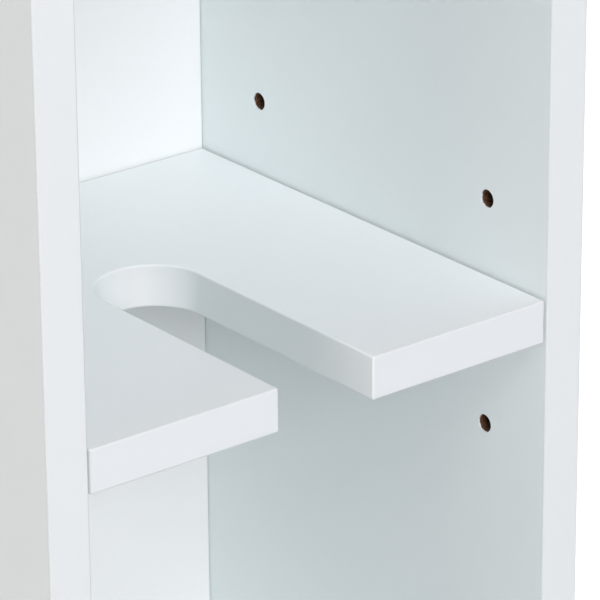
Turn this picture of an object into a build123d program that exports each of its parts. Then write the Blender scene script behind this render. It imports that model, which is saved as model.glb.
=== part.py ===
from build123d import *
import os
from math import cos, radians, sin

os.makedirs("parts", exist_ok=True)

# Slim storage trolley: an open-fronted tower of painted board on four twin-wheel castors.
# The open front faces -Y, the back board is at +Y, and the floor is Z = 0.

# Tower
inner_width = 146.0
inner_depth = 146.0
lower_bay_height = 420.0
upper_bay_height = 244.0
side_thickness = 12.0
back_thickness = 12.0
board_thickness = 12.0
edge_round = 0.6

# Holes for the shelf pins, in two columns on each side board
pin_hole_radius = 2.5
pin_hole_depth = 9.0
pin_hole_rows = 3
pin_hole_pitch = 32.0
pin_column_setback = 24.0
pin_column_spacing = 96.0
pin_height = 236.0

# Shelf pins
pin_clearance = 0.05
pin_end_gap = 0.5
pin_length = 16.0
pin_chamfer = 0.4

# Brush shelf
shelf_thickness = 12.0
shelf_setback = 0.3
shelf_side_gap = 0.6
shelf_back_gap = 0.3
slot_width = 30.0
slot_length = 87.0
pin_above_underside = 0.9
notch_clearance = 0.25
notch_seat_gap = 0.05

# Cam fittings between the side boards and the level boards
cam_radius = 6.0
cam_height = 9.2
cam_clearance = 0.1
cam_top_gap = 0.3
cam_setback = 24.0
cam_inset = 30.0
cam_cross_length = 6.0
cam_cross_width = 1.2
cam_cross_depth = 1.6
bolt_thread_radius = 2.45
bolt_thread_length = 8.5
bolt_thread_end_gap = 0.5
bolt_shank_radius = 2.2
bolt_neck_radius = 1.3
bolt_neck_length = 5.0
bolt_head_radius = 2.4
bolt_head_length = 3.0
bolt_clearance = 0.1

# Wooden dowels
dowel_radius = 3.0
dowel_length = 28.0
dowel_in_side = 8.5
dowel_clearance = 0.05
dowel_end_gap = 0.5
dowel_chamfer = 0.6
back_dowel_inset = 90.0

# Screws through the back board into the level boards
back_screw_radius = 1.75
back_screw_head_radius = 3.5
back_screw_length = 30.0
back_screw_x = 45.0
countersink_angle = 90.0
screw_clearance = 0.05
screw_end_gap = 0.5
head_sink = 0.3

# Cross recesses in the screw heads
recess_length = 2.6
recess_width = 0.6
recess_depth = 0.8

# Castors
castor_height = 40.0
castor_inset = 35.0
trail = 11.0
plate_size = 36.0
plate_corner = 4.0
plate_thickness = 2.0
plate_screw_spacing = 26.0
plate_screw_radius = 1.5
plate_screw_head_radius = 3.0
plate_screw_head_height = 1.8
plate_screw_crown = 1.9
plate_screw_length = 9.0

# Castor stem and the ring that holds the hood on it
stem_radius = 3.0
stem_length = 15.0
stem_clearance = 0.05
stem_end_gap = 0.8
collar_radius = 5.5
collar_thickness = 1.0
ring_wire = 0.8
ring_groove_radius = 2.4
ring_outer_radius = 3.35
ring_clearance = 0.1
ring_height = 3.0
ring_mouth = 2.4

# Castor wheels and axle
wheel_radius = 15.0
wheel_width = 8.0
wheel_gap = 0.4
tread_bevel = 1.2
dish_radius = 11.8
dish_depth = 1.2
dish_bevel = 0.9
cap_radius = 4.2
cap_thickness = 1.6
axle_radius = 2.0
axle_clearance = 0.05
axle_end_gap = 0.3

# Castor hood
hood_radius = 18.0
hood_wall = 2.0
hood_overlap = 0.1
hood_tilt = 25.0
hood_bevel = 0.8
web_thickness = 8.4
web_radius = 16.6
hub_radius = 4.5
boss_radius = 6.8
boss_gap = 0.3

# Brake lever on the front castors
brake_fender_end = 74.0
brake_pivot_angle = 62.0
brake_pivot_radius = 18.3
brake_lug_radius = 2.2
brake_pin_radius = 1.0
brake_pin_clearance = 0.05
brake_ear_gap = 0.3
brake_ear_inner_radius = 17.0
brake_lever_inner_radius = 18.5
brake_lever_outer_radius = 20.5
brake_lever_start = 14.0
brake_bridge_end = 50.0
brake_side_setback = 0.3
pedal_angle = 18.0
pedal_reach = 24.5
pedal_thickness = 2.4
pedal_width = 17.0
pedal_root = 19.0

# Places that follow from the sizes above
outer_width = inner_width + 2 * side_thickness
outer_depth = inner_depth + back_thickness
front_y = -outer_depth / 2
back_face_y = front_y + inner_depth
rear_y = outer_depth / 2
side_face_x = inner_width / 2
board_mid_y = front_y + inner_depth / 2

bottom_z = castor_height
fixed_shelf_z = bottom_z + board_thickness + lower_bay_height
top_z = fixed_shelf_z + board_thickness + upper_bay_height
tower_height = top_z + board_thickness - bottom_z
tower_mid_z = bottom_z + tower_height / 2
board_levels = [bottom_z, fixed_shelf_z, top_z]

pin_z = bottom_z + board_thickness + pin_height
pin_column_mid_y = front_y + pin_column_setback + pin_column_spacing / 2
pin_ys = [front_y + pin_column_setback, front_y + pin_column_setback + pin_column_spacing]
pin_radius = pin_hole_radius - pin_clearance
pin_reach = pin_length - (pin_hole_depth - pin_end_gap)

castor_x = outer_width / 2 - castor_inset
castor_y = outer_depth / 2 - castor_inset
axle_z = wheel_radius
plate_z = castor_height - plate_thickness
collar_z = plate_z - collar_thickness
boss_top_z = collar_z - boss_gap
stem_bottom_z = boss_top_z - stem_length
ring_z = stem_bottom_z + ring_height
well_radius = hood_radius - hood_wall
hood_half_width = web_thickness / 2 + wheel_gap + wheel_width + hood_overlap

# The bottom board has its dowels over the castors and one cam at its middle
cam_rows = {
    bottom_z: [board_mid_y],
    fixed_shelf_z: [front_y + cam_inset, back_face_y - cam_inset],
    top_z: [front_y + cam_inset, back_face_y - cam_inset],
}
dowel_rows = {
    bottom_z: [-castor_y, castor_y],
    fixed_shelf_z: [board_mid_y],
    top_z: [board_mid_y],
}
back_dowel_levels = [bottom_z + back_dowel_inset, top_z + board_thickness - back_dowel_inset]

upright = (Align.CENTER, Align.CENTER, Align.MIN)


def side_face(side):
    """Inner face of a side board, looking into the tower; local x is -side * Y and local y is Z."""
    return Plane(origin=(side * side_face_x, 0, 0), x_dir=(0, -side, 0), z_dir=(-side, 0, 0))


def joint_points(side, rows):
    """Points on a side face at the middle of each level board, one for each row."""
    return [(-side * y, z + board_thickness / 2) for z, ys in rows.items() for y in ys]


def joint_planes(rows):
    """Planes on both side faces at the middle of each level board, facing into the tower."""
    planes = []
    for side in (-1, 1):
        for x, z in joint_points(side, rows):
            planes.append(Plane(side_face(side).from_local_coords((x, z)), z_dir=(-side, 0, 0)))
    return planes


def back_dowel_planes():
    """Planes on both side faces where the dowels of the back board cross them."""
    y = rear_y - back_thickness / 2
    return [
        Plane(origin=(side * side_face_x, y, z), z_dir=(-side, 0, 0))
        for side in (-1, 1)
        for z in back_dowel_levels
    ]


def side_board(side, label):
    """A side board, with blind holes for the pins, the cam bolts and the dowels."""
    face = side_face(side)
    with BuildPart() as panel:
        with BuildSketch(face):
            with Locations((0, tower_mid_z)):
                Rectangle(outer_depth, tower_height)
        extrude(amount=-side_thickness)
        fillet(panel.edges(), edge_round)
        with BuildSketch(face):
            with Locations((-side * pin_column_mid_y, pin_z)):
                with GridLocations(pin_column_spacing, pin_hole_pitch, 2, pin_hole_rows):
                    Circle(pin_hole_radius)
        extrude(amount=-pin_hole_depth, mode=Mode.SUBTRACT)
        with BuildSketch(face):
            with Locations(*joint_points(side, cam_rows)):
                Circle(bolt_thread_radius + bolt_clearance)
        extrude(amount=-bolt_thread_length - bolt_thread_end_gap, mode=Mode.SUBTRACT)
        with BuildSketch(face):
            with Locations(*joint_points(side, dowel_rows)):
                Circle(dowel_radius + dowel_clearance)
            with Locations(*[(-side * (rear_y - back_thickness / 2), z) for z in back_dowel_levels]):
                Circle(dowel_radius + dowel_clearance)
        extrude(amount=-dowel_in_side - dowel_end_gap, mode=Mode.SUBTRACT)
    panel.part.label = label
    export_step(panel.part, f"parts/{label}.step")


def level_board(level, label):
    """A level board between the sides, with cam bores below and holes in its ends and rear edge."""
    underside = Plane.XY.offset(level)
    mid_z = level + board_thickness / 2
    cam_x = side_face_x - cam_setback
    with BuildPart() as board:
        with BuildSketch(underside):
            with Locations((0, board_mid_y)):
                Rectangle(inner_width, inner_depth)
        extrude(amount=board_thickness)
        fillet(board.edges(), edge_round)
        with BuildSketch(underside):
            with Locations(*[(x, y) for x in (-cam_x, cam_x) for y in cam_rows[level]]):
                Circle(cam_radius + cam_clearance)
        extrude(amount=cam_height + cam_top_gap, mode=Mode.SUBTRACT)
        for side in (-1, 1):
            face = side_face(side)
            with BuildSketch(face):
                with Locations(*[(-side * y, mid_z) for y in cam_rows[level]]):
                    Circle(bolt_shank_radius + bolt_clearance)
            extrude(amount=cam_setback, mode=Mode.SUBTRACT)
            with BuildSketch(face):
                with Locations(*[(-side * y, mid_z) for y in dowel_rows[level]]):
                    Circle(dowel_radius + dowel_clearance)
            extrude(amount=dowel_length - dowel_in_side + dowel_end_gap, mode=Mode.SUBTRACT)
        with BuildSketch(Plane.XZ.offset(-back_face_y)):
            with Locations((-back_screw_x, mid_z), (back_screw_x, mid_z)):
                Circle(back_screw_radius + screw_clearance)
        extrude(amount=back_screw_length - back_thickness + screw_end_gap, mode=Mode.SUBTRACT)
        if level == bottom_z:
            with BuildSketch(underside):
                with GridLocations(2 * castor_x, 2 * castor_y, 2, 2):
                    with GridLocations(plate_screw_spacing, plate_screw_spacing, 2, 2):
                        Circle(plate_screw_radius + screw_clearance)
            extrude(amount=plate_screw_length - plate_thickness + screw_end_gap, mode=Mode.SUBTRACT)
    board.part.label = label
    export_step(board.part, f"parts/{label}.step")


def back_board(label):
    """The back board between the sides, screwed from behind into the level boards."""
    with BuildPart() as back:
        with BuildSketch(Plane.XZ.offset(-rear_y)):
            with Locations((0, tower_mid_z)):
                Rectangle(inner_width, tower_height)
        extrude(amount=back_thickness)
        fillet(back.edges(), edge_round)
        with Locations(*back_screw_planes()):
            CounterSinkHole(
                back_screw_radius + screw_clearance,
                back_screw_head_radius + screw_clearance + head_sink,
                counter_sink_angle=countersink_angle,
            )
        for side in (-1, 1):
            with BuildSketch(side_face(side)):
                with Locations(*[(-side * (rear_y - back_thickness / 2), z) for z in back_dowel_levels]):
                    Circle(dowel_radius + dowel_clearance)
            extrude(amount=dowel_length - dowel_in_side + dowel_end_gap, mode=Mode.SUBTRACT)
    back.part.label = label
    export_step(back.part, f"parts/{label}.step")


def back_screw_planes():
    """Planes on the rear of the back board, facing back, one for each screw."""
    return [
        Plane(origin=(x, rear_y, level + board_thickness / 2), z_dir=(0, 1, 0))
        for level in board_levels
        for x in (-back_screw_x, back_screw_x)
    ]


def cross_recess():
    """Take a cross out of a screw head whose face is at the current locations."""
    Box(recess_length, recess_width, 2 * recess_depth, mode=Mode.SUBTRACT)
    Box(recess_width, recess_length, 2 * recess_depth, mode=Mode.SUBTRACT)


def back_screws(label):
    """Countersunk screws, sunk a little below the rear of the back board."""
    head_height = back_screw_head_radius - back_screw_radius
    with BuildPart() as screws:
        with Locations(*[plane.offset(-head_sink - head_height) for plane in back_screw_planes()]):
            Cone(back_screw_radius, back_screw_head_radius, head_height, align=upright)
        with Locations(*[plane.offset(-back_screw_length) for plane in back_screw_planes()]):
            Cylinder(back_screw_radius, back_screw_length - head_sink - head_height, align=upright)
        with Locations(*[plane.offset(-head_sink) for plane in back_screw_planes()]):
            cross_recess()
    screws.part.label = label
    export_step(screws.part, f"parts/{label}.step")


def brush_shelf(label):
    """The loose shelf, with a round-ended slot open to the front and four notches for its pins."""
    shelf_z = pin_z - pin_above_underside
    shelf_front = front_y + shelf_setback
    shelf_depth = inner_depth - shelf_setback - shelf_back_gap
    shelf_half_width = side_face_x - shelf_side_gap
    slot_center_y = shelf_front + slot_length - slot_width / 2
    notch_half = pin_radius + notch_clearance
    notch_reach = pin_reach - shelf_side_gap
    with BuildPart() as shelf:
        with BuildSketch(Plane.XY.offset(shelf_z)):
            with Locations((0, shelf_front)):
                Rectangle(2 * shelf_half_width, shelf_depth, align=(Align.CENTER, Align.MIN))
            with Locations((0, slot_center_y)):
                Circle(slot_width / 2, mode=Mode.SUBTRACT)
                Rectangle(
                    slot_width,
                    slot_center_y - shelf_front,
                    align=(Align.CENTER, Align.MAX),
                    mode=Mode.SUBTRACT,
                )
        extrude(amount=shelf_thickness)
        fillet(shelf.edges(), edge_round)
        with BuildSketch(Plane.XY.offset(shelf_z)):
            for y in pin_ys:
                for side in (-1, 1):
                    with Locations((side * (shelf_half_width - notch_reach), y)):
                        Circle(notch_half)
                        align_out = Align.MIN if side > 0 else Align.MAX
                        Rectangle(notch_reach, 2 * notch_half, align=(align_out, Align.CENTER))
        extrude(amount=pin_above_underside + pin_radius + notch_seat_gap, mode=Mode.SUBTRACT)
    shelf.part.label = label
    export_step(shelf.part, f"parts/{label}.step")


def shelf_pins(label):
    """Plain metal pins, pushed into the middle row of holes, that carry the brush shelf."""
    seats = [
        Plane(origin=(side * (side_face_x + pin_hole_depth - pin_end_gap), y, pin_z), z_dir=(-side, 0, 0))
        for side in (-1, 1)
        for y in pin_ys
    ]
    with BuildPart() as pins:
        with Locations(*seats):
            Cylinder(pin_radius, pin_length, align=upright)
        chamfer(pins.edges().filter_by(GeomType.CIRCLE), pin_chamfer)
    pins.part.label = label
    export_step(pins.part, f"parts/{label}.step")


def cam_locks(label):
    """Round cams in the undersides of the level boards, each hollow where the bolt's head sits."""
    seats = []
    channels = []
    for plane in joint_planes(cam_rows):
        axis_point = plane.offset(cam_setback).origin
        seats.append(Plane(axis_point - Vector(0, 0, board_thickness / 2)))
        channels.append(Plane(axis_point, z_dir=-plane.z_dir))
    cavity = bolt_head_radius + bolt_clearance
    with BuildPart() as cams:
        with Locations(*seats):
            Cylinder(cam_radius, cam_height, align=upright)
            Box(cam_cross_length, cam_cross_width, 2 * cam_cross_depth, mode=Mode.SUBTRACT)
            Box(cam_cross_width, cam_cross_length, 2 * cam_cross_depth, mode=Mode.SUBTRACT)
        with Locations(*channels):
            Cylinder(cavity, bolt_head_length + 2 * bolt_clearance, mode=Mode.SUBTRACT)
            Cylinder(
                bolt_neck_radius + bolt_clearance,
                cam_radius + cam_clearance,
                align=upright,
                mode=Mode.SUBTRACT,
            )
    cams.part.label = label
    export_step(cams.part, f"parts/{label}.step")


def cam_bolts(label):
    """Cam bolts: a thread in the side board, then a shank, a neck and a head inside the cam."""
    planes = joint_planes(cam_rows)
    head_start = cam_setback - bolt_head_length / 2
    neck_start = head_start - bolt_neck_length
    with BuildPart() as bolts:
        with Locations(*[plane.offset(-bolt_thread_length) for plane in planes]):
            Cylinder(bolt_thread_radius, bolt_thread_length, align=upright)
        with Locations(*planes):
            Cylinder(bolt_shank_radius, neck_start, align=upright)
        with Locations(*[plane.offset(neck_start) for plane in planes]):
            Cylinder(bolt_neck_radius, bolt_neck_length, align=upright)
        with Locations(*[plane.offset(head_start) for plane in planes]):
            Cylinder(bolt_head_radius, bolt_head_length, align=upright)
    bolts.part.label = label
    export_step(bolts.part, f"parts/{label}.step")


def dowels(label):
    """Wooden dowels that line the level boards and the back board up with the sides."""
    planes = joint_planes(dowel_rows) + back_dowel_planes()
    with BuildPart() as pegs:
        with Locations(*[plane.offset(-dowel_in_side) for plane in planes]):
            Cylinder(dowel_radius, dowel_length, align=upright)
        chamfer(pegs.edges().filter_by(GeomType.CIRCLE), dowel_chamfer)
    pegs.part.label = label
    export_step(pegs.part, f"parts/{label}.step")


def castor_screws(label):
    """Pan-head screws through the corners of the castor plates."""
    with BuildPart() as screws:
        with Locations((0, 0, plate_z)):
            with GridLocations(2 * castor_x, 2 * castor_y, 2, 2):
                with GridLocations(plate_screw_spacing, plate_screw_spacing, 2, 2):
                    Cylinder(plate_screw_radius, plate_screw_length, align=upright)
                    Cone(
                        plate_screw_crown,
                        plate_screw_head_radius,
                        plate_screw_head_height,
                        align=(Align.CENTER, Align.CENTER, Align.MAX),
                    )
        with Locations((0, 0, plate_z - plate_screw_head_height)):
            with GridLocations(2 * castor_x, 2 * castor_y, 2, 2):
                with GridLocations(plate_screw_spacing, plate_screw_spacing, 2, 2):
                    cross_recess()
    screws.part.label = label
    export_step(screws.part, f"parts/{label}.step")


def castor_plate(spot, label):
    """A square plate with rounded corners, screwed under the bottom board."""
    with BuildPart() as plate:
        with BuildSketch(Plane.XY.offset(plate_z)):
            with Locations(spot):
                RectangleRounded(plate_size, plate_size, plate_corner)
                Circle(stem_radius + stem_clearance, mode=Mode.SUBTRACT)
                with GridLocations(plate_screw_spacing, plate_screw_spacing, 2, 2):
                    Circle(plate_screw_radius + screw_clearance, mode=Mode.SUBTRACT)
        extrude(amount=plate_thickness)
    plate.part.label = label
    export_step(plate.part, f"parts/{label}.step")


def castor_stem(spot, label):
    """The upright pin that the hood turns on, with a collar below the plate and a ring groove."""
    x, y = spot
    upper_groove_z = ring_z + ring_wire + 2 * ring_clearance
    with BuildPart() as stem:
        with BuildSketch(Plane(origin=(x, y, 0), x_dir=(1, 0, 0), z_dir=(0, -1, 0))):
            with BuildLine():
                Polyline(
                    (0, stem_bottom_z),
                    (stem_radius, stem_bottom_z),
                    (stem_radius, ring_z),
                    (ring_groove_radius, ring_z),
                    (ring_groove_radius, upper_groove_z),
                    (stem_radius, upper_groove_z),
                    (stem_radius, collar_z),
                    (collar_radius, collar_z),
                    (collar_radius, plate_z),
                    (stem_radius, plate_z),
                    (stem_radius, castor_height),
                    (0, castor_height),
                    close=True,
                )
            make_face()
        revolve(axis=Axis((x, y, 0), (0, 0, 1)))
    stem.part.label = label
    export_step(stem.part, f"parts/{label}.step")


def stem_rings(spots, label):
    """Open spring rings in the stem grooves that hold the hoods up on their stems."""
    with BuildPart() as rings:
        with BuildSketch(Plane.XY.offset(ring_z + ring_clearance)):
            with Locations(*spots):
                Circle(ring_outer_radius)
                Circle(ring_groove_radius + ring_clearance, mode=Mode.SUBTRACT)
                Rectangle(
                    ring_outer_radius,
                    ring_mouth,
                    align=(Align.MIN, Align.CENTER),
                    mode=Mode.SUBTRACT,
                )
        extrude(amount=ring_wire)
    rings.part.label = label
    export_step(rings.part, f"parts/{label}.step")


def side_view(spot):
    """Upright plane through the middle of a castor: local x is +Y, local y is +Z, from the axle."""
    x, y = spot
    return Plane(origin=(x, y + trail, axle_z), x_dir=(0, 1, 0), z_dir=(1, 0, 0))


def at_angle(radius, angle):
    """A point in the side view at a distance and an angle from the axle."""
    return (radius * cos(radians(angle)), radius * sin(radians(angle)))


def cut_below(angle):
    """Take away what lies below a line through the axle that rises to the rear."""
    Rectangle(
        4 * hood_radius,
        4 * hood_radius,
        rotation=angle,
        align=(Align.CENTER, Align.MAX),
        mode=Mode.SUBTRACT,
    )


def castor_hood(spot, braked, label):
    """The moulded hood: a fender over both wheels, a web between them and a boss for the stem."""
    x, y = spot
    view = side_view(spot)
    with BuildPart() as hood:
        with BuildSketch(view):
            Circle(hood_radius)
            cut_below(hood_tilt)
            if braked:
                cut_below(brake_fender_end)
        extrude(amount=hood_half_width, both=True)
        chamfer(hood.edges().filter_by(GeomType.CIRCLE), hood_bevel)
        with BuildSketch(Plane.XY.offset(axle_z)):
            with Locations(spot):
                Circle(boss_radius)
        extrude(amount=boss_top_z - axle_z)
        for side in (-1, 1):
            with BuildSketch(view.offset(side * web_thickness / 2)):
                Circle(well_radius)
            extrude(amount=side * hood_half_width, mode=Mode.SUBTRACT)
        with BuildSketch(view):
            Circle(web_radius)
            cut_below(hood_tilt)
            Circle(hub_radius)
            if braked:
                with Locations(at_angle(brake_pivot_radius, brake_pivot_angle)):
                    Circle(brake_lug_radius)
        extrude(amount=web_thickness / 2, both=True)
        with BuildSketch(view):
            Circle(axle_radius + axle_clearance)
            if braked:
                with Locations(at_angle(brake_pivot_radius, brake_pivot_angle)):
                    Circle(brake_pin_radius + brake_pin_clearance)
        extrude(amount=web_thickness, both=True, mode=Mode.SUBTRACT)
        with BuildSketch(Plane.XY.offset(boss_top_z)):
            with Locations(spot):
                Circle(stem_radius + stem_clearance)
        extrude(amount=-stem_length - stem_end_gap, mode=Mode.SUBTRACT)
        with BuildSketch(Plane.XY.offset(ring_z)):
            with Locations(spot):
                Circle(ring_outer_radius + ring_clearance)
        extrude(amount=ring_wire + 2 * ring_clearance, mode=Mode.SUBTRACT)
    hood.part.label = label
    export_step(hood.part, f"parts/{label}.step")


def castor_axle(spot, label):
    """The axle pin through the web, with a wheel on each end."""
    half_length = web_thickness / 2 + wheel_gap + wheel_width - cap_thickness - axle_end_gap
    with BuildPart() as axle:
        with BuildSketch(side_view(spot)):
            Circle(axle_radius)
        extrude(amount=half_length, both=True)
    axle.part.label = label
    export_step(axle.part, f"parts/{label}.step")


def castor_wheel(spot, side, label):
    """A wheel with a bevelled tread, a dished outer face and a closed cap over the axle end."""
    x, y = spot
    inner_x = x + side * (web_thickness / 2 + wheel_gap)
    bore_radius = axle_radius + axle_clearance
    dish_x = wheel_width - dish_depth
    axle_point = (inner_x, y + trail, axle_z)
    with BuildPart() as wheel:
        with BuildSketch(Plane(origin=axle_point, x_dir=(side, 0, 0), z_dir=(0, -side, 0))) as profile:
            with BuildLine():
                Polyline(
                    (0, bore_radius),
                    (0, wheel_radius),
                    (wheel_width, wheel_radius),
                    (wheel_width, dish_radius),
                    (dish_x, dish_radius - dish_bevel),
                    (dish_x, cap_radius + dish_bevel),
                    (wheel_width, cap_radius),
                    (wheel_width, 0),
                    (wheel_width - cap_thickness, 0),
                    (wheel_width - cap_thickness, bore_radius),
                    close=True,
                )
            make_face()
            chamfer(profile.vertices().group_by(Axis.Y)[-1], tread_bevel)
        revolve(axis=Axis(axle_point, (1, 0, 0)))
    wheel.part.label = label
    export_step(wheel.part, f"parts/{label}.step")


def lever_band(inner_radius, end_angle):
    """Side view of a band of the brake lever, from its pedal end up to an angle."""
    Circle(brake_lever_outer_radius)
    Circle(inner_radius, mode=Mode.SUBTRACT)
    cut_below(brake_lever_start)
    Rectangle(
        4 * hood_radius,
        4 * hood_radius,
        rotation=end_angle,
        align=(Align.CENTER, Align.MIN),
        mode=Mode.SUBTRACT,
    )


def brake_lever(spot, label):
    """A curved lever over the wheels, with an ear on each side of the web and a pedal to press."""
    view = side_view(spot)
    ear_start = web_thickness / 2 + brake_ear_gap
    ear_end = hood_half_width - brake_side_setback
    pivot = at_angle(brake_pivot_radius, brake_pivot_angle)
    with BuildPart() as lever:
        for side in (-1, 1):
            with BuildSketch(view.offset(side * ear_start)):
                lever_band(brake_ear_inner_radius, brake_pivot_angle)
                with Locations(pivot):
                    Circle(brake_lug_radius)
                    Circle(brake_pin_radius + brake_pin_clearance, mode=Mode.SUBTRACT)
            extrude(amount=side * (ear_end - ear_start))
        with BuildSketch(view):
            lever_band(brake_lever_inner_radius, brake_bridge_end)
        extrude(amount=ear_end, both=True)
        with BuildSketch(view):
            with Locations(Location(at_angle(pedal_root, pedal_angle), pedal_angle)):
                Rectangle(pedal_reach - pedal_root, pedal_thickness, align=(Align.MIN, Align.CENTER))
        extrude(amount=pedal_width / 2, both=True)
    lever.part.label = label
    export_step(lever.part, f"parts/{label}.step")


def brake_pin(spot, label):
    """The cross pin that the brake lever turns on."""
    with BuildPart() as pin:
        with BuildSketch(side_view(spot)):
            with Locations(at_angle(brake_pivot_radius, brake_pivot_angle)):
                Circle(brake_pin_radius)
        extrude(amount=hood_half_width - brake_side_setback, both=True)
    pin.part.label = label
    export_step(pin.part, f"parts/{label}.step")


def castor(spot, braked, corner):
    """One castor: plate, stem, hood, axle and two wheels, with a brake on the front ones."""
    castor_plate(spot, f"castor_plate_{corner}")
    castor_stem(spot, f"castor_stem_{corner}")
    castor_hood(spot, braked, f"castor_hood_{corner}")
    castor_axle(spot, f"castor_axle_{corner}")
    castor_wheel(spot, -1, f"left_wheel_{corner}")
    castor_wheel(spot, 1, f"right_wheel_{corner}")
    if braked:
        brake_lever(spot, f"brake_lever_{corner}")
        brake_pin(spot, f"brake_pin_{corner}")


side_board(-1, "left_side_panel")
side_board(1, "right_side_panel")
back_board("back_panel")
level_board(bottom_z, "bottom_panel")
level_board(fixed_shelf_z, "fixed_shelf")
level_board(top_z, "top_panel")
brush_shelf("brush_shelf")
shelf_pins("shelf_pins")
cam_locks("cam_locks")
cam_bolts("cam_bolts")
dowels("dowels")
back_screws("back_screws")
castor_screws("castor_screws")

castor_spots = {
    "front_left": (-castor_x, -castor_y),
    "front_right": (castor_x, -castor_y),
    "rear_left": (-castor_x, castor_y),
    "rear_right": (castor_x, castor_y),
}
stem_rings(castor_spots.values(), "stem_rings")
for corner, spot in castor_spots.items():
    castor(spot, corner.startswith("front"), corner)
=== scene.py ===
import math

import bpy
from mathutils import Matrix, Vector


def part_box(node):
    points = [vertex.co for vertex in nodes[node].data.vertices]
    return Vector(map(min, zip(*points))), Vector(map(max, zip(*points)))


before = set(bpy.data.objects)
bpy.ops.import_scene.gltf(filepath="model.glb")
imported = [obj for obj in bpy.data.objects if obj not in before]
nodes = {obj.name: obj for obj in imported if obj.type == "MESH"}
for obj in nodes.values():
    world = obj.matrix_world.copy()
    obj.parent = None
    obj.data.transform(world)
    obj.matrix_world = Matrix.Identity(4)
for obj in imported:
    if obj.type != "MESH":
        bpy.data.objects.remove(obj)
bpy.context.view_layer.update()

MM = 0.001

# Camera, from a fit to the photo's board edges and pin holes
CAMERA_PLACE = (-0.59722, -0.82079, 0.71663)
CAMERA_HEADING = 38.444
CAMERA_PITCH = 22.679
CAMERA_ROLL = -0.427
CAMERA_LENS = 251.94
CAMERA_RANGE = (0.05, 100)

# Paint: one white in lit and shaded copies, painted light and shade: the walls cyan-tinted as painted
# shade, the back less tinted and the shelf lighter as painted light, the fronts and rounded edges darker
# as painted shade, and the shelf's top edges lighter as a painted highlight
WALL_SHADED_PAINT = (0.811, 0.889, 0.887)
WALL_FRONT_SHADE_PAINT = (0.721, 0.791, 0.791)
BACK_LIT_PAINT = (0.820, 0.858, 0.853)
SHELF_LIT_PAINT = (0.862, 0.920, 0.920)
SHELF_FRONT_SHADE_PAINT = (0.722, 0.794, 0.805)
SHELF_TOP_EDGE_HIGHLIGHT_PAINT = (0.745, 0.795, 0.790)
EDGE_SHADE_PAINT = (0.65, 0.71, 0.705)
FRONT_DEPTH = 0.75 * MM
EDGE_WIDTH = 0.7 * MM
PAINT_IOR = 1.5

# Unevenness of the paint
CLOUD_SIZE = 60 * MM
CLOUD_TONE = 0.985
ORANGE_PEEL_SIZE = 1.6 * MM
ORANGE_PEEL_HEIGHT = 0.008 * MM
WAVE_SIZE = 14 * MM
WAVE_HEIGHT = 0.06 * MM
GLOSS_PATCH_SIZE = 9 * MM
PAINT_ROUGHNESS = (0.36, 0.44)
EDGE_ROUGHNESS = 0.75

# Wall of the shelf's slot, darkened as painted shade: bands behind the shelf's front, to the right of its
# middle and below its faces, the shade deepening towards the round end
SLOT_SHADE_PAINT = (0.766, 0.842, 0.840)
SLOT_END_SHADE_PAINT = (0.690, 0.740, 0.740)
SLOT_MOUTH_BAND = (8 * MM, 25 * MM)
SLOT_END_BAND = (70 * MM, 84 * MM)
SLOT_SIDE_BAND = (-7 * MM, 3 * MM)
SLOT_DEPTH_BAND = (0.05 * MM, 0.30 * MM)

# Raw board inside the holes: where the paint stops, and fibres near the rim and deeper in, darkened
# further in as painted shade of the hole
PAINT_FILM = 0.40 * MM
PAINT_RAGGED = 0.25 * MM
RAGGED_SIZE = 0.9 * MM
FIBRE_SIZE = 0.7 * MM
FIBRE_HEIGHT = 0.25 * MM
FIBRE_MIX = (0.35, 0.65)
HOLE_SHADE_BAND = (0.5 * MM, 4.0 * MM)
DARK_FIBRES = ((0.050, 0.020, 0.008), (0.008, 0.003, 0.001))
LIGHT_FIBRES = ((0.22, 0.105, 0.047), (0.080, 0.032, 0.010))
RAW_ROUGHNESS = 0.95

# The middle range of a noise, which is stretched to fill a range of colours or roughness
MID_NOISE = (0.3, 0.7)

# Plated and cast metal
GLOSS_ROUGHNESS = (0.28, 0.42)
CAST_ROUGHNESS = (0.45, 0.60)
METAL_PATCH_SIZE = 5 * MM
METAL_PATCH_TONE = 0.86
SCRATCH_SIZE = 0.8 * MM
SCRATCH_STRETCH = (1.0, 14.0, 1.0)
SCRATCH_HEIGHT = 0.01 * MM

# Moulded nylon of the hoods, levers and wheels
NYLON_PATCH_SIZE = 7 * MM
NYLON_GRAIN_SIZE = 0.35 * MM
NYLON_GRAIN_HEIGHT = 0.02 * MM
NYLON_ROUGHNESS = (0.38, 0.52)

# Castor wheels: a dark body and a grey tread with scuffs
WHEEL_BODY = ((0.016, 0.016, 0.018), (0.024, 0.024, 0.027))
WHEEL_TREAD = ((0.16, 0.165, 0.17), (0.24, 0.24, 0.235))
WHEEL_ROUGHNESS = (0.42, 0.72)
WHEEL_PATCH_SIZE = 6 * MM
WHEEL_GRAIN_SIZE = 0.4 * MM
SCUFF_SIZE = 2.5 * MM
SCUFF_MIX = (0.35, 0.75)
TREAD_INNER_RADIUS = 12.4 * MM
TREAD_SEAM = 0.1 * MM

# Beech dowels
BEECH = ((0.42, 0.26, 0.14), (0.66, 0.47, 0.29))
BEECH_GRAIN_SIZE = 0.5 * MM
BEECH_GRAIN_STRETCH = (0.12, 1.0, 1.0)
BEECH_GRAIN_HEIGHT = 0.05 * MM
BEECH_ROUGHNESS = 0.6

# Floor: its paint, and the white it gives off where it is seen, near the object and far away
FLOOR_RADIUS = 30
FLOOR_SIDES = 96
FLOOR_PAINT = (0.80, 0.80, 0.80)
FLOOR_ROUGHNESS = 0.9
FLOOR_BAND = (1.0, 4.0)
FLOOR_WHITE = (0.75, 1.0)

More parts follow.
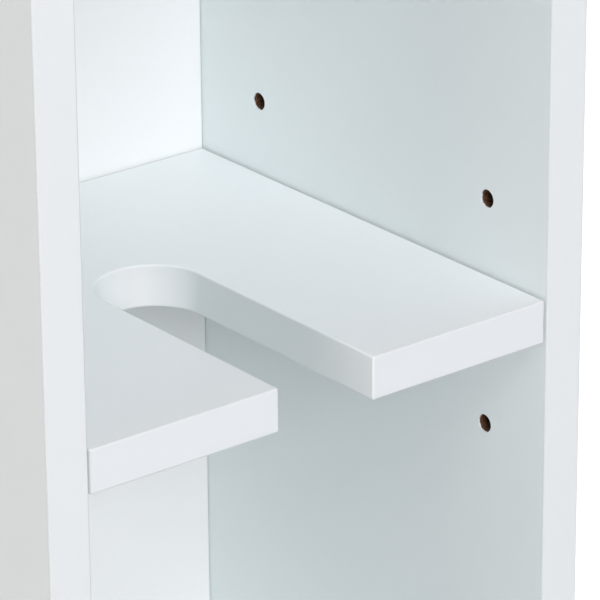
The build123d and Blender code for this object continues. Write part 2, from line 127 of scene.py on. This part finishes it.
# Light: the world's own, and lamps with a name, place, aim, size, watts and colour
AMBIENT = (0.02, 0.02, 0.02)
STUDIO_WHITE = (1.0, 0.943, 0.982)
WARM_WHITE = (1.0, 0.90, 0.82)
PALE_WHITE = (1.0, 0.995, 0.98)
LAMPS = (
    ("key", (-1.53, -4.23, 1.97), (0, 0, 0.35), 1.8, 109.5, STUDIO_WHITE),
    ("high_front", (-1.08, -3.15, 3.72), (0, 0, 0.3), 1.8, 79, STUDIO_WHITE),
    ("front_left", (-1.8, -2.2, 1.2), (0, 0, 0.35), 1.4, 8, STUDIO_WHITE),
    ("top", (0.0, -0.6, 2.8), (0, 0, 0.3), 1.4, 8, STUDIO_WHITE),
    ("left", (-2.8, -0.2, 1.0), (0, 0, 0.35), 1.4, 17.5, WARM_WHITE),
    ("back_right", (2.2, 2.4, 0.6), (0, 0, 0.35), 1.4, 62, PALE_WHITE),
)


def material(name):
    """A new node material, its node tree and its Principled shader."""
    made = bpy.data.materials.new(name)
    made.use_nodes = True
    tree = made.node_tree
    return made, tree, tree.nodes["Principled BSDF"]


def add_node(tree, kind, inputs=(), **settings):
    """A node with its settings made, and its inputs set to values or linked to sockets."""
    node = tree.nodes.new(kind)
    for key, value in settings.items():
        setattr(node, key, value)
    for key, value in dict(inputs).items():
        if isinstance(value, bpy.types.NodeSocket):
            tree.links.new(value, node.inputs[key])
        else:
            node.inputs[key].default_value = value
    return node


def maths(tree, operation, *values):
    """A maths node's result."""
    return add_node(tree, "ShaderNodeMath", enumerate(values), operation=operation).outputs[0]


def vector_maths(tree, operation, *values):
    """A vector maths node's result."""
    node = add_node(tree, "ShaderNodeVectorMath", enumerate(values), operation=operation)
    return node.outputs["Value" if operation in ("LENGTH", "DISTANCE") else "Vector"]


def place(tree):
    """The point on the surface, in the piece's own coordinates."""
    return add_node(tree, "ShaderNodeTexCoord").outputs["Object"]


def noise(tree, size, detail=3.0, roughness=0.5, where=None):
    """Noise whose blobs are about this size, in metres."""
    inputs = {"Vector": where or place(tree), "Scale": 1 / size, "Detail": detail, "Roughness": roughness}
    return add_node(tree, "ShaderNodeTexNoise", inputs).outputs["Fac"]


def ramp(tree, value, low, high, out_low=0.0, out_high=1.0, smooth=False):
    """Value moved from the range low to high to another range, and held inside it."""
    inputs = {"Value": value, "From Min": low, "From Max": high, "To Min": out_low, "To Max": out_high}
    kind = "SMOOTHSTEP" if smooth else "LINEAR"
    return add_node(tree, "ShaderNodeMapRange", inputs, interpolation_type=kind).outputs["Result"]


def mix_colour(tree, factor, first, second):
    """Two colours mixed by a factor."""
    node = add_node(tree, "ShaderNodeMix", data_type="RGBA")
    tree.links.new(factor, node.inputs[0])
    for socket, colour in ((node.inputs[6], first), (node.inputs[7], second)):
        if isinstance(colour, bpy.types.NodeSocket):
            tree.links.new(colour, socket)
        else:
            socket.default_value = (*colour, 1.0)
    return node.outputs[2]


def mix_value(tree, factor, first, second):
    """Two values mixed by a factor."""
    return add_node(tree, "ShaderNodeMix", {0: factor, 2: first, 3: second}).outputs[0]


def darker(colour, tone):
    """A colour times a tone."""
    return tuple(c * tone for c in colour)


def bump(tree, height, distance, under=None):
    """A bump from a height of this many metres, over another bump."""
    inputs = {"Height": height, "Distance": distance}
    if under:
        inputs["Normal"] = under
    return add_node(tree, "ShaderNodeBump", inputs).outputs["Normal"]


def face_distances(tree, low, high):
    """How deep the point lies below each pair of faces of a box: three values."""
    point = place(tree)
    from_low = vector_maths(tree, "SUBTRACT", point, tuple(low))
    from_high = vector_maths(tree, "SUBTRACT", tuple(high), point)
    nearest = vector_maths(tree, "MINIMUM", from_low, from_high)
    return add_node(tree, "ShaderNodeSeparateXYZ", {0: nearest}).outputs


def edge_distance(tree, x, y, z):
    """The second smallest of three distances: how far the point is from the nearest edge of its box."""
    return maths(
        tree,
        "MINIMUM",
        maths(tree, "MINIMUM", maths(tree, "MAXIMUM", x, y), maths(tree, "MAXIMUM", y, z)),
        maths(tree, "MAXIMUM", x, z),
    )


def slot_wall_shade_paint(tree, point, front_y):
    """Painted shade on the slot's wall: shelf white at the mouth, darker further in and darkest towards
    the round end.
    """
    from_front = maths(tree, "SUBTRACT", point["Y"], front_y)
    paint = mix_colour(tree, ramp(tree, from_front, *SLOT_MOUTH_BAND), SHELF_LIT_PAINT, SLOT_SHADE_PAINT)
    at_end = ramp(tree, from_front, *SLOT_END_BAND)
    at_side = ramp(tree, point["X"], *SLOT_SIDE_BAND)
    return mix_colour(tree, maths(tree, "MULTIPLY", at_end, at_side), paint, SLOT_END_SHADE_PAINT)


def raw_board(tree, fibres, depth):
    """Brown fibres of raw board, darkened further into the hole as painted shade."""
    hole_shade = ramp(tree, depth, *HOLE_SHADE_BAND)
    light = mix_colour(tree, hole_shade, *LIGHT_FIBRES)
    dark = mix_colour(tree, hole_shade, *DARK_FIBRES)
    return mix_colour(tree, ramp(tree, fibres, *FIBRE_MIX), dark, light)


def painted_board(node, full, front, slotted=False):
    """White satin paint, darker on the front and on rounded edges as painted shade, with a painted
    highlight on the shelf's top edges and painted shade in its slot, and raw board in holes.
    """
    low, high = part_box(node)
    made, tree, shader = material(f"paint_{node}")
    x, y, z = face_distances(tree, low, high)
    depth = maths(tree, "MINIMUM", maths(tree, "MINIMUM", x, y), z)
    from_edge = edge_distance(tree, x, y, z)
    edge = ramp(tree, from_edge, EDGE_WIDTH, 0.3 * EDGE_WIDTH, smooth=True)
    paint = mix_colour(tree, noise(tree, CLOUD_SIZE, 2.0), darker(full, CLOUD_TONE), full)
    # Rounded edges take a darker paint: painted shade that dims their highlight
    edge_shade_paint = EDGE_SHADE_PAINT
    if slotted:
        point = add_node(tree, "ShaderNodeSeparateXYZ", {0: place(tree)}).outputs
        # Inside the slot the wall paint darkens inwards: painted shade
        slot_shade = ramp(tree, depth, *SLOT_DEPTH_BAND)
        paint = mix_colour(tree, slot_shade, paint, slot_wall_shade_paint(tree, point, low.y))
        # The shelf's top edges are lighter than its other edges: a painted highlight
        top_edge_highlight = ramp(tree, point["Z"], high.z - EDGE_WIDTH, high.z - 0.5 * EDGE_WIDTH)
        edge_shade_paint = mix_colour(tree, top_edge_highlight, EDGE_SHADE_PAINT, SHELF_TOP_EDGE_HIGHLIGHT_PAINT)
    # Front faces take a darker copy of the paint: painted shade
    paint = mix_colour(tree, ramp(tree, y, FRONT_DEPTH, 0.7 * FRONT_DEPTH), paint, front)
    colour = mix_colour(tree, edge, paint, edge_shade_paint)
    relief = bump(tree, noise(tree, WAVE_SIZE, 1.0), WAVE_HEIGHT)
    relief = bump(tree, noise(tree, ORANGE_PEEL_SIZE, 2.0, 0.45), ORANGE_PEEL_HEIGHT, under=relief)
    roughness = ramp(tree, noise(tree, GLOSS_PATCH_SIZE), *MID_NOISE, *PAINT_ROUGHNESS)
    roughness = mix_value(tree, edge, roughness, EDGE_ROUGHNESS)
    if not slotted:
        fibres = noise(tree, FIBRE_SIZE, 6.0, 0.7)
        ragged = ramp(tree, noise(tree, RAGGED_SIZE, 4.0, 0.7), *MID_NOISE, -PAINT_RAGGED, PAINT_RAGGED)
        bare = ramp(tree, maths(tree, "ADD", depth, ragged), PAINT_FILM, 1.25 * PAINT_FILM)
        off_edge = ramp(tree, from_edge, 1.5 * EDGE_WIDTH, 2.0 * EDGE_WIDTH)
        bare = maths(tree, "MULTIPLY", bare, off_edge)
        # Raw board shows in the holes, darker deeper in: painted shade
        colour = mix_colour(tree, bare, colour, raw_board(tree, fibres, depth))
        roughness = mix_value(tree, bare, roughness, RAW_ROUGHNESS)
        relief = bump(tree, maths(tree, "MULTIPLY", fibres, bare), FIBRE_HEIGHT, under=relief)
    tree.links.new(colour, shader.inputs["Base Color"])
    tree.links.new(roughness, shader.inputs["Roughness"])
    tree.links.new(relief, shader.inputs["Normal"])
    shader.inputs["IOR"].default_value = PAINT_IOR
    return made


def plated_metal(name, colour, rough=GLOSS_ROUGHNESS):
    """Zinc or nickel plating: uneven gloss and fine scratches."""
    made, tree, shader = material(name)
    patches = noise(tree, METAL_PATCH_SIZE, 4.0, 0.6)
    tint = mix_colour(tree, patches, darker(colour, METAL_PATCH_TONE), colour)
    stretch = add_node(tree, "ShaderNodeMapping", {"Vector": place(tree), "Scale": SCRATCH_STRETCH})
    lines = noise(tree, SCRATCH_SIZE, 3.0, 0.6, stretch.outputs[0])
    tree.links.new(tint, shader.inputs["Base Color"])
    tree.links.new(ramp(tree, patches, *MID_NOISE, *rough), shader.inputs["Roughness"])
    tree.links.new(bump(tree, lines, SCRATCH_HEIGHT), shader.inputs["Normal"])
    shader.inputs["Metallic"].default_value = 1.0
    return made


def moulded_plastic(name, dark, light):
    """Moulded nylon: fine spark-eroded grain and slightly uneven gloss."""
    made, tree, shader = material(name)
    patches = noise(tree, NYLON_PATCH_SIZE)
    grain = noise(tree, NYLON_GRAIN_SIZE, 2.0)
    tree.links.new(mix_colour(tree, patches, dark, light), shader.inputs["Base Color"])
    tree.links.new(ramp(tree, grain, *MID_NOISE, *NYLON_ROUGHNESS), shader.inputs["Roughness"])
    tree.links.new(bump(tree, grain, NYLON_GRAIN_HEIGHT), shader.inputs["Normal"])
    return made


def castor_wheel(node):
    """A nylon wheel body with a softer grey tread round it, scuffed where it rolls."""
    low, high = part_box(node)
    axle = (low + high) / 2
    made, tree, shader = material(f"wheel_{node}")
    flat = vector_maths(tree, "MULTIPLY", place(tree), (0, 1, 1))
    radius = vector_maths(tree, "DISTANCE", flat, (0, axle.y, axle.z))
    tread = ramp(tree, radius, TREAD_INNER_RADIUS, TREAD_INNER_RADIUS + TREAD_SEAM)
    scuffs = ramp(tree, noise(tree, SCUFF_SIZE, 5.0, 0.7), *SCUFF_MIX)
    body = mix_colour(tree, noise(tree, WHEEL_PATCH_SIZE), *WHEEL_BODY)
    rubber = mix_colour(tree, scuffs, *WHEEL_TREAD)
    grain = noise(tree, WHEEL_GRAIN_SIZE, 2.0)
    tree.links.new(mix_colour(tree, tread, body, rubber), shader.inputs["Base Color"])
    tree.links.new(ramp(tree, tread, 0.0, 1.0, *WHEEL_ROUGHNESS), shader.inputs["Roughness"])
    tree.links.new(bump(tree, grain, NYLON_GRAIN_HEIGHT), shader.inputs["Normal"])
    return made


def beech(name):
    """Plain beech with fine grain along the dowel."""
    made, tree, shader = material(name)
    stretch = add_node(tree, "ShaderNodeMapping", {"Vector": place(tree), "Scale": BEECH_GRAIN_STRETCH})
    grain = noise(tree, BEECH_GRAIN_SIZE, 5.0, 0.6, stretch.outputs[0])
    tree.links.new(mix_colour(tree, grain, *BEECH), shader.inputs["Base Color"])
    tree.links.new(bump(tree, grain, BEECH_GRAIN_HEIGHT), shader.inputs["Normal"])
    shader.inputs["Roughness"].default_value = BEECH_ROUGHNESS
    return made


def dress(node, made):
    """Gives a CAD node its material."""
    slots = nodes[node].data.materials
    slots.clear()
    slots.append(made)


def dress_all():
    """Gives every CAD node its material."""
    # Each board gets its own lit or shaded copy of the white paint, painted light and shade
    for node in ("left_side_panel", "right_side_panel", "bottom_panel", "fixed_shelf", "top_panel"):
        dress(node, painted_board(node, WALL_SHADED_PAINT, WALL_FRONT_SHADE_PAINT))
    dress("back_panel", painted_board("back_panel", BACK_LIT_PAINT, BACK_LIT_PAINT))
    dress("brush_shelf", painted_board("brush_shelf", SHELF_LIT_PAINT, SHELF_FRONT_SHADE_PAINT, slotted=True))
    nickel = plated_metal("nickel", (0.74, 0.73, 0.70))
    zinc = plated_metal("zinc", (0.70, 0.72, 0.75))
    cast_zinc = plated_metal("cast_zinc", (0.50, 0.50, 0.50), CAST_ROUGHNESS)
    spring_steel = plated_metal("spring_steel", (0.35, 0.35, 0.37))
    hood = moulded_plastic("hood_nylon", (0.018, 0.018, 0.020), (0.028, 0.028, 0.031))
    lever = moulded_plastic("lever_nylon", (0.10, 0.10, 0.105), (0.13, 0.13, 0.135))
    wood = beech("beech")
    dressed = {
        "shelf_pins": nickel,
        "cam_locks": cast_zinc,
        "cam_bolts": zinc,
        "back_screws": zinc,
        "castor_screws": zinc,
        "stem_rings": spring_steel,
        "dowels": wood,
    }
    for node, made in dressed.items():
        dress(node, made)
    by_start = {
        "castor_plate": zinc,
        "castor_stem": zinc,
        "castor_axle": zinc,
        "brake_pin": zinc,
        "castor_hood": hood,
        "brake_lever": lever,
    }
    for node in nodes:
        for start, made in by_start.items():
            if node.startswith(start):
                dress(node, made)
        if "_wheel_" in node:
            dress(node, castor_wheel(node))


def seen_white(tree):
    """1 for a ray from the camera, a reflection or glass, which is to meet white, and 0 for other rays."""
    path = add_node(tree, "ShaderNodeLightPath").outputs
    seen = maths(tree, "MAXIMUM", path["Is Camera Ray"], path["Is Glossy Ray"])
    return maths(tree, "MAXIMUM", seen, path["Is Transmission Ray"])


def make_floor():
    """A plain pale floor that reads white where it is lit and keeps the object's shadow."""
    bpy.ops.mesh.primitive_circle_add(vertices=FLOOR_SIDES, radius=FLOOR_RADIUS, fill_type="NGON")
    floor = bpy.context.object
    floor.name = "floor"
    made, tree, shader = material("floor")
    shader.inputs["Base Color"].default_value = (*FLOOR_PAINT, 1)
    shader.inputs["Roughness"].default_value = FLOOR_ROUGHNESS
    shader.inputs["Specular IOR Level"].default_value = 0.0
    distance = vector_maths(tree, "LENGTH", place(tree))
    white = ramp(tree, distance, *FLOOR_BAND, *FLOOR_WHITE, smooth=True)
    strength = maths(tree, "MULTIPLY", seen_white(tree), white)
    glow = add_node(tree, "ShaderNodeEmission", {"Strength": strength})
    both = add_node(tree, "ShaderNodeAddShader")
    tree.links.new(shader.outputs[0], both.inputs[0])
    tree.links.new(glow.outputs[0], both.inputs[1])
    tree.links.new(both.outputs[0], tree.nodes["Material Output"].inputs["Surface"])
    floor.data.materials.append(made)


def make_world():
    """White where it is seen, and a faint ambient light on the object."""
    world = bpy.data.worlds.new("studio")
    bpy.context.scene.world = world
    world.use_nodes = True
    tree = world.node_tree
    light = tree.nodes["Background"]
    light.inputs["Color"].default_value = (*AMBIENT, 1)
    white = add_node(tree, "ShaderNodeBackground", {"Color": (1, 1, 1, 1)})
    both = add_node(tree, "ShaderNodeMixShader", {0: seen_white(tree)})
    tree.links.new(light.outputs[0], both.inputs[1])
    tree.links.new(white.outputs[0], both.inputs[2])
    tree.links.new(both.outputs[0], tree.nodes["World Output"].inputs["Surface"])


def softbox(name, location, target, size, power, colour):
    """A square area lamp that faces a point."""
    lamp = bpy.data.lights.new(name, "AREA")
    lamp.shape = "SQUARE"
    lamp.size = size
    lamp.energy = power
    lamp.color = colour
    lamp_object = bpy.data.objects.new(name, lamp)
    lamp_object.location = location
    aim = Vector(target) - Vector(location)
    lamp_object.rotation_euler = aim.to_track_quat("-Z", "Y").to_euler()
    bpy.context.scene.collection.objects.link(lamp_object)


def make_camera():
    """The photo's viewpoint: a long lens from the front left, a little above the brush shelf."""
    lens = bpy.data.cameras.new("photo_view")
    lens.lens = CAMERA_LENS
    lens.clip_start, lens.clip_end = CAMERA_RANGE
    camera = bpy.data.objects.new("photo_view", lens)
    heading = Matrix.Rotation(math.radians(-CAMERA_HEADING), 4, "Z")
    pitch = Matrix.Rotation(math.radians(90 - CAMERA_PITCH), 4, "X")
    roll = Matrix.Rotation(math.radians(CAMERA_ROLL), 4, "Z")
    camera.matrix_world = Matrix.Translation(CAMERA_PLACE) @ heading @ pitch @ roll
    bpy.context.scene.collection.objects.link(camera)
    bpy.context.scene.camera = camera


dress_all()
make_floor()
make_world()
for lamp in LAMPS:
    softbox(*lamp)
make_camera()

bpy.context.scene.view_settings.view_transform = "Standard"
